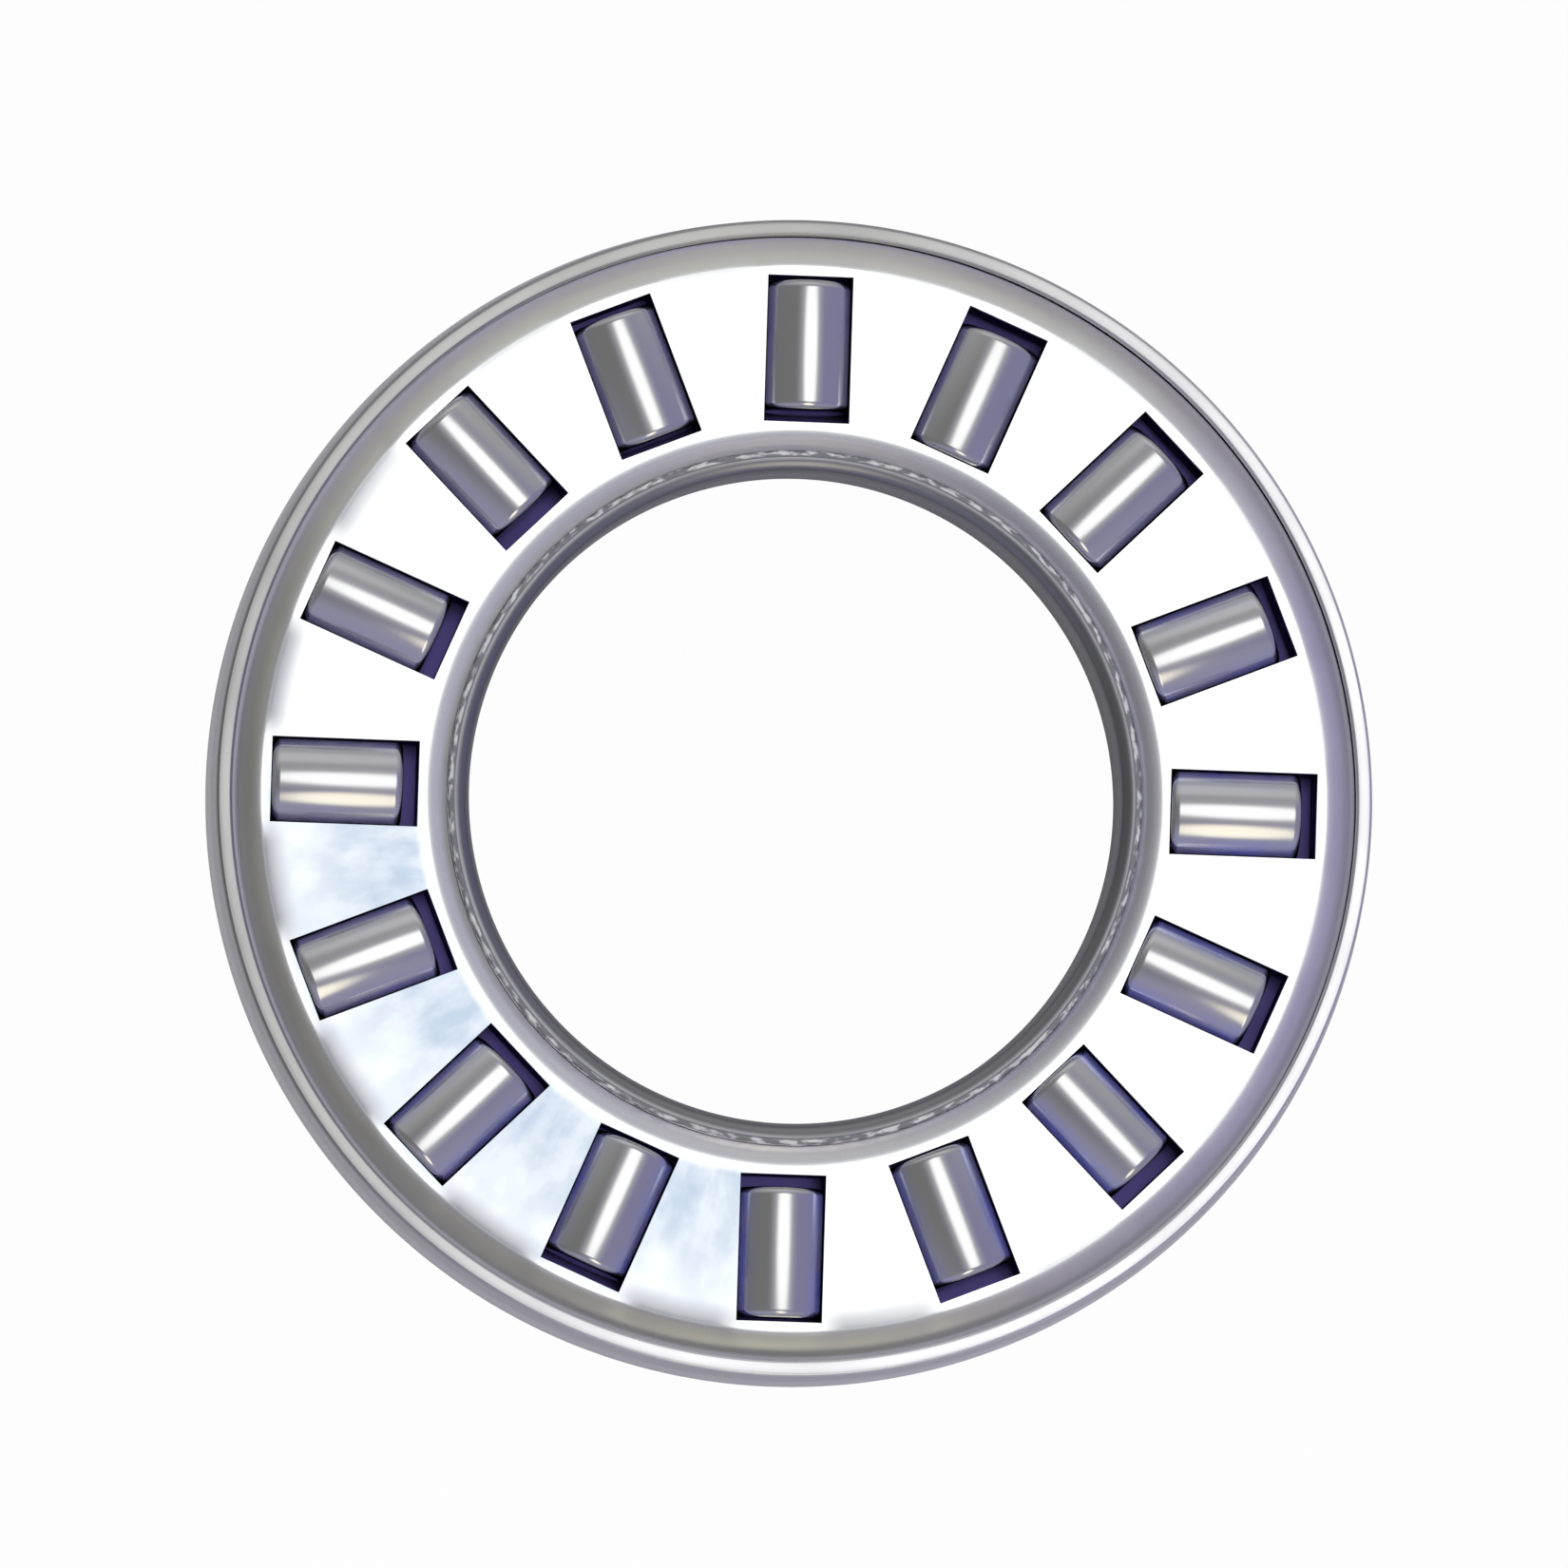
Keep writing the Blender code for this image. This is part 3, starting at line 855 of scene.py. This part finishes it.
# %% Ring of slices
SHEET = 0.5 * MM
SLICE = math.tau / pockets
SLICE_WELD = 0.0005 * MM


def make_ring_of_slices(outline, flat_low, flat_high, dish=None):
    """Spins one slice of the outline, punches its pocket, and copies it all the way round."""
    bm = bmesh.new()
    geometry = draw_outline(bm, outline, False, -SLICE / 2)
    about = {"cent": (0, 0, 0), "axis": (0, 0, 1)}
    bmesh.ops.spin(bm, geom=geometry, angle=SLICE, steps=FULL_STEPS // pockets, **about)
    bm.normal_update()
    punch_pocket(bm, flat_low, flat_high)
    if dish:
        dish(bm)
    everything = bm.verts[:] + bm.edges[:] + bm.faces[:]
    rest = {"angle": math.tau - SLICE, "steps": pockets - 1, "use_duplicate": True}
    bmesh.ops.spin(bm, geom=everything, **rest, **about)
    bmesh.ops.remove_doubles(bm, verts=bm.verts, dist=SLICE_WELD)
    bmesh.ops.recalc_face_normals(bm, faces=bm.faces)
    return bm


def thicken(piece):
    """The sheet's thickness, on its inner side, and its broken edges."""
    wall = piece.modifiers.new("Sheet", "SOLIDIFY")
    wall.thickness = SHEET
    wall.offset = -1
    wall.use_even_offset = True
    wall.material_offset = 1
    wall.material_offset_rim = 2
    edges = piece.modifiers.new("Broken edges", "BEVEL")
    edges.width = 0.05 * MM
    edges.segments = 2
    edges.limit_method = "ANGLE"
    edges.angle_limit = math.radians(50)
    edges.harden_normals = True


print("slices:", pockets, "of", FULL_STEPS // pockets, "steps")

# %% [markdown]
# The upper half's shoulders are flatter than a quarter circle, because the sheet was drawn over a die
# with a soft corner. A superellipse draws them: it is a circle whose power is lower, so its corner fills
# less. Extra points on the flat land keep the faces beside the pockets short.

# %% Upper half's outline
INNER_SHOULDER = 1.25 * MM
OUTER_SHOULDER = 1.45 * MM
INNER_FALL = 0.42 * MM
OUTER_FALL = 0.55 * MM
SHOULDER_SHAPE = 1.28
RIM_SIDE = 0.20 * MM
TIGHT = SHEET + 0.2 * MM
HEM = 1.1 * MM
INNER_LAND_STEP = 0.15 * MM
OUTER_LAND_STEP = 0.08 * MM

wall_outer = cage_outer + RIM_SIDE
flat_inner = cage_inner + INNER_SHOULDER
flat_outer = wall_outer - OUTER_SHOULDER


def shoulder(centre_r, width, fall, start, end, steps=16):
    """Points (r, z) on a flattened round shoulder, from one angle to another in degrees."""
    found = []
    for i in range(steps + 1):
        t = math.radians(start + (end - start) * i / steps)
        level = max(abs(math.cos(t)), 1e-6) ** (2 / SHOULDER_SHAPE)
        upright = max(abs(math.sin(t)), 1e-6) ** (2 / SHOULDER_SHAPE)
        r = centre_r + width * math.copysign(level, math.cos(t))
        found.append((r, cage_top - fall + fall * upright))
    return found


outline = [(cage_inner + HEM, cage_bottom)]
outline += arc(cage_inner + TIGHT, cage_bottom + TIGHT, TIGHT, 270, 180, 5)
outline += shoulder(flat_inner, INNER_SHOULDER, INNER_FALL, 180, 90)
outline += [(flat_inner + INNER_LAND_STEP * i, cage_top) for i in range(1, 3)]
outline += [(flat_outer - OUTER_LAND_STEP * i, cage_top) for i in range(10, 0, -1)]
outline += shoulder(flat_outer, OUTER_SHOULDER, OUTER_FALL, 90, 0)
outline += arc(cage_outer - TIGHT, cage_bottom + TIGHT, TIGHT, 0, -90, 5)
outline += [(cage_outer - HEM, cage_bottom)]
print("points in the upper half's outline:", len(outline))

# %% [markdown]
# Where the sheet is not held by a pocket's end, drawing pulls it down a little, so the edge of the flat
# web is scalloped. The dish moves the points between the pockets down by a twentieth of a millimetre,
# which is enough to bend the reflection.

# %% Upper half of the cage
DISH = 0.05 * MM
DISH_BESIDE = 0.8 * MM
DISH_INWARDS = 0.75 * MM


def up_to_one(value):
    return min(max(value, 0), 1)


def dish_between_pockets(bm):
    """Between the pockets the drawn sheet sinks a little towards its outer shoulder."""
    for vert in bm.verts:
        height = up_to_one(1 - (cage_top - vert.co.z) / OUTER_FALL)
        beside = up_to_one((abs(vert.co.y) - pocket_half) / DISH_BESIDE)
        outer = up_to_one((vert.co.xy.length - flat_outer) / DISH_INWARDS + 1)
        vert.co.z -= DISH * beside * outer**2 * height


bm = make_ring_of_slices(outline, flat_inner, flat_outer, dish_between_pockets)
print("upper half faces:", len(bm.faces))
upper_steels = (cage_steel, inside_shade_steel, punched_light_steel)
thicken(finish_piece("cage_cup", bm, "cage", "cage_upper_half", "cage_steel", *upper_steels))

# %% [markdown]
# The lower half is flat, with both edges turned up inside the upper half's walls. Only its bars show,
# deep in the pockets beside the rollers, and they are painted dark violet, as painted shade.

# %% Lower half of the cage
outline = [(lower_outer, lower_top)]
outline += arc(lower_outer - TIGHT, lower_bottom + TIGHT, TIGHT, 0, -90, 5)
outline += arc(lower_inner + TIGHT, lower_bottom + TIGHT, TIGHT, 270, 180, 5)
outline += [(lower_inner, lower_top)]
bm = make_ring_of_slices(outline, lower_inner + TIGHT, lower_outer - TIGHT)
print("lower half faces:", len(bm.faces))
lower_steels = (inside_shade_steel, inside_shade_steel, inside_shade_steel)
thicken(finish_piece("cage_tray", bm, "cage", "cage_lower_half", "cage_steel", *lower_steels))

# %% [markdown]
# ## The rollers
# Each roller is a short ground cylinder with rounded ends, made like a needle for a needle bearing. A
# cylinder with bevelled rims gives it. They all have the same shape, and each is turned to point outwards
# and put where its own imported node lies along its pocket.

# %% Rollers
ROLLER_STEPS = 96
END_ROUND = 0.38 * MM
END_STEPS = 5


def make_roller(name):
    low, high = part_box(name)
    middle = (low + high) / 2
    outwards = Vector((middle.x, middle.y, 0)).normalized()
    place = Matrix.Translation(middle) @ outwards.to_track_quat("Z", "Y").to_matrix().to_4x4()
    bm = bmesh.new()
    ends = {"radius1": roller_radius, "radius2": roller_radius}
    bmesh.ops.create_cone(bm, cap_ends=True, segments=ROLLER_STEPS, depth=roller_length, **ends)
    rims = [edge for edge in bm.edges if edge.verts[0].co.z * edge.verts[1].co.z > 0]
    round_off = {"offset": END_ROUND, "segments": END_STEPS, "profile": 0.5}
    bmesh.ops.bevel(bm, geom=rims, affect="EDGES", material=-1, **round_off)
    bmesh.ops.transform(bm, matrix=place, verts=bm.verts)
    return finish_piece(f"{name}_ground", bm, name, name, "roller_steel", roller_steel)


for name in roller_names:
    make_roller(name)
print("rollers:", pockets, "of", round(2 * roller_radius / MM, 3), "by", round(roller_length / MM, 3), "mm")
